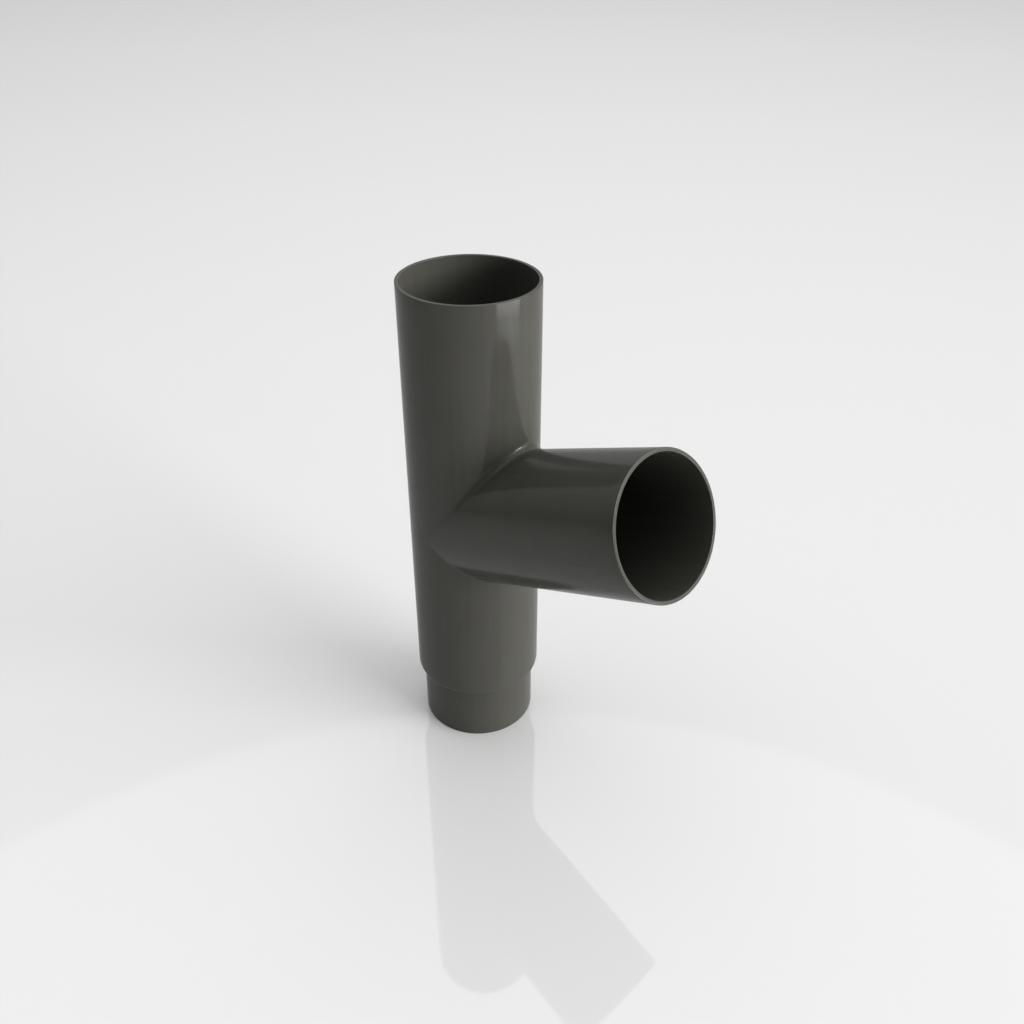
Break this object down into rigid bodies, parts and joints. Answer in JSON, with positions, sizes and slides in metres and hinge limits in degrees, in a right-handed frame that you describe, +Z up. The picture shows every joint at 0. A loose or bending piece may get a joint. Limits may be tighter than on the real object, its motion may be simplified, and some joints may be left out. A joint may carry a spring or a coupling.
{
  "type": "downpipe branch",
  "caption": "Straight downpipe fitting with a plain socket at the top, a steep side branch of equal bore and a stepped-in spigot at the foot.",
  "frame": {"origin": "middle of the spigot's end, on the body's axis", "axes": "+Z up along the body towards the upper socket, +X to the side the branch leans to; the XZ plane is the mirror plane"},
  "size_m": [0.2618, 0.1062, 0.4065],
  "materials": {
    "graphite_plastic": "satin, moulded, dark grey with a faint olive cast"
  },
  "bodies": {
    "root": {"branch_fitting": "graphite_plastic"}
  },
  "joints": []
}
